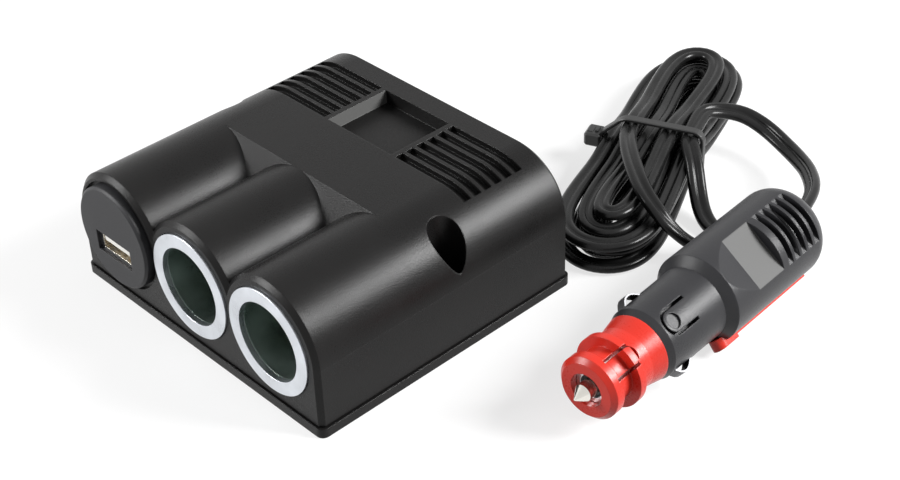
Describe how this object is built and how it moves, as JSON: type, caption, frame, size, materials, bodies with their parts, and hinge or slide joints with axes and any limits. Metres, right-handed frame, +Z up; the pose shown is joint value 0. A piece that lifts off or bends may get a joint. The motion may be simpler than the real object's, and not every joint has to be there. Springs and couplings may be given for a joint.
{
  "type": "twelve-volt extension socket",
  "caption": "Low vehicle power splitter with lighter-style sockets and a USB port in rounded bays, a tied hank of flat cord and a plug with a red adapter ring.",
  "frame": {"origin": "middle of the housing in the plane it rests on, under the centre of its outline with the USB panel", "axes": "+X across the sockets with the USB panel at -X, +Y from the socket mouths back to the cord outlet, +Z up"},
  "size_m": [0.1447, 0.1921, 0.0365],
  "materials": {
    "housing_plastic": "fine-grained satin black moulding",
    "screw_steel": "zinc plated",
    "bright_ring": "satin, bright",
    "sleeve_steel": "drawn steel, dull nickel",
    "insulator": "pressed brown laminate",
    "contact_brass": "polished brass",
    "copper_strip": "rolled copper",
    "panel_plastic": "fine-grained grey moulding",
    "port_steel": "bright nickel",
    "port_plastic": "white",
    "gilt_contact": "gilt",
    "circuit_board": "green solder mask",
    "board_parts": "black and aluminium cans",
    "core_insulation": "red and black insulation",
    "cord_rubber": "matt black",
    "cord_jacket": "soft satin black",
    "tie_plastic": "black",
    "plug_plastic": "grained dark grey moulding",
    "red_plastic": "bright red",
    "nose_steel": "bright nickel",
    "nose_bush": "black moulding",
    "pin_brass": "nickel plated brass",
    "spring_steel": "dark spring steel",
    "fuse_glass": "glass tube with nickel caps"
  },
  "bodies": {
    "socket_unit": {"housing_shell": "housing_plastic", "base_plate": "housing_plastic", "base_screws": "screw_steel", "socket_ring_middle": "bright_ring", "socket_ring_right": "bright_ring", "socket_sleeve_middle": "sleeve_steel", "socket_sleeve_right": "sleeve_steel", "socket_insulator_middle": "insulator", "socket_insulator_right": "insulator", "socket_contact_middle": "contact_brass", "socket_contact_right": "contact_brass", "positive_bar": "copper_strip", "negative_bar": "copper_strip", "usb_panel": "panel_plastic", "usb_shell": "port_steel", "usb_tongue": "port_plastic", "usb_contacts": "gilt_contact", "usb_board": "circuit_board", "usb_parts": "board_parts", "core_wires": "core_insulation", "cable_grommet": "cord_rubber", "cord_lead_out": "cord_jacket", "cord_hank": "cord_jacket", "cord_lead_plug": "cord_jacket", "cable_tie": "tie_plastic", "plug_shell_upper": "plug_plastic", "plug_shell_lower": "plug_plastic", "plug_screws": "screw_steel", "nose_sleeve": "nose_steel", "nose_insulator": "nose_bush", "pin_spring": "spring_steel", "fuse": "fuse_glass", "fuse_clip": "contact_brass"},
    "adapter": {"adapter_ring": "red_plastic"},
    "pin": {"centre_pin": "pin_brass"},
    "upper_contact": {"side_contact_upper": "spring_steel"},
    "lower_contact": {"side_contact_lower": "spring_steel"},
    "slider": {"release_slider": "red_plastic"}
  },
  "joints": [
    {"name": "adapter_pull", "type": "slide", "parent": "socket_unit", "child": "adapter", "axis": [0.0811, -0.9967, 0], "range_m": [0, 0.03]},
    {"name": "pin_press", "type": "slide", "parent": "socket_unit", "child": "pin", "axis": [-0.0811, 0.9967, 0], "range_m": [0, 0.003], "stiffness_N_per_m": 1500, "springref_m": -0.003, "deforming": ["pin_spring"]},
    {"name": "upper_contact_press", "type": "slide", "parent": "socket_unit", "child": "upper_contact", "axis": [0.796, 0.0647, -0.6018], "range_m": [0, 0.0012], "stiffness_N_per_m": 1500, "springref_m": -0.001},
    {"name": "lower_contact_press", "type": "slide", "parent": "socket_unit", "child": "lower_contact", "axis": [-0.796, -0.0647, 0.6018], "range_m": [0, 0.0012], "stiffness_N_per_m": 1500, "springref_m": -0.001},
    {"name": "slider_push", "type": "slide", "parent": "socket_unit", "child": "slider", "axis": [0.0811, -0.9967, 0], "range_m": [0, 0.004]}
  ]
}
